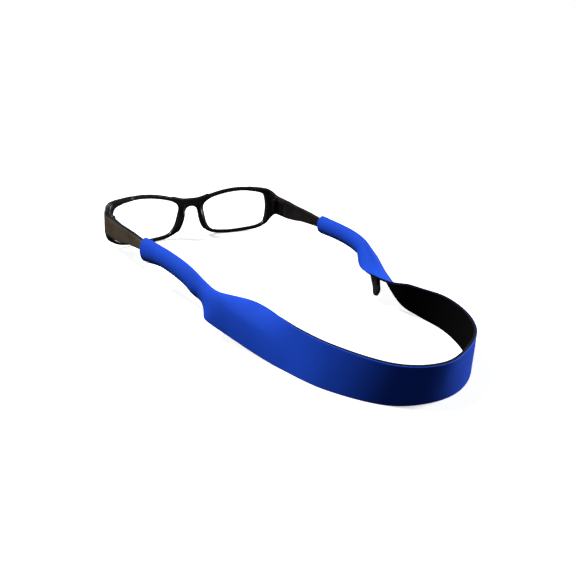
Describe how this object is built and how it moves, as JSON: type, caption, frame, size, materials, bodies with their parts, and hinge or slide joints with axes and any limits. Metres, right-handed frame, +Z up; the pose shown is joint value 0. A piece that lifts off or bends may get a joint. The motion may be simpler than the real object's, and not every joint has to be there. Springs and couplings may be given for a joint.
{
  "type": "eyewear retainer strap",
  "caption": "Soft neoprene band with rolled and seamed end sleeves, pushed on the temples of plastic spectacles so that they hang round the neck.",
  "frame": {"origin": "middle of the object's box, on the surface that the rims and the strap's lower edge stand on", "axes": "+Y from the strap towards the spectacle front, +X towards the wearer's right temple, +Z up"},
  "size_m": [0.1446, 0.2609, 0.036],
  "materials": {
    "frame_plastic": "polished black acetate",
    "temple_plastic": "satin brown-black acetate",
    "lens_plastic": "clear, polished",
    "hinge_steel": "stamped and barrelled",
    "strap_face": "royal blue nylon jersey bonded to the foam",
    "strap_foam": "closed cell foam, cut edge",
    "strap_lining": "black nylon jersey",
    "seam_thread": "matching blue polyester thread"
  },
  "bodies": {
    "left_temple": {"temple_left": "temple_plastic", "hinge_leaf_temple_left": "hinge_steel", "hinge_screw_left": "hinge_steel", "sleeve_face_left": "strap_face", "sleeve_foam_left": "strap_foam", "sleeve_lining_left": "strap_lining", "seam_thread_left": "seam_thread"},
    "right_temple": {"temple_right": "temple_plastic", "hinge_leaf_temple_right": "hinge_steel", "hinge_screw_right": "hinge_steel", "sleeve_face_right": "strap_face", "sleeve_foam_right": "strap_foam", "sleeve_lining_right": "strap_lining", "seam_thread_right": "seam_thread"},
    "front": {"frame_front": "frame_plastic", "lens_left": "lens_plastic", "lens_right": "lens_plastic", "hinge_leaf_front_left": "hinge_steel", "hinge_leaf_front_right": "hinge_steel", "band_face": "strap_face", "band_foam": "strap_foam", "band_lining": "strap_lining", "neck_face_left": "strap_face", "neck_foam_left": "strap_foam", "neck_lining_left": "strap_lining", "neck_face_right": "strap_face", "neck_foam_right": "strap_foam", "neck_lining_right": "strap_lining"}
  },
  "joints": [
    {"name": "left_temple_fold", "type": "hinge", "parent": "front", "child": "left_temple", "pos_m": [-0.0659, 0.1134, 0.022], "axis": [0, 0, 1], "range_deg": [0, 15], "deforming": ["neck_face_left", "neck_foam_left", "neck_lining_left"]},
    {"name": "right_temple_fold", "type": "hinge", "parent": "front", "child": "right_temple", "pos_m": [0.0659, 0.1134, 0.022], "axis": [0, 0, -1], "range_deg": [0, 15], "deforming": ["neck_face_right", "neck_foam_right", "neck_lining_right"]}
  ]
}
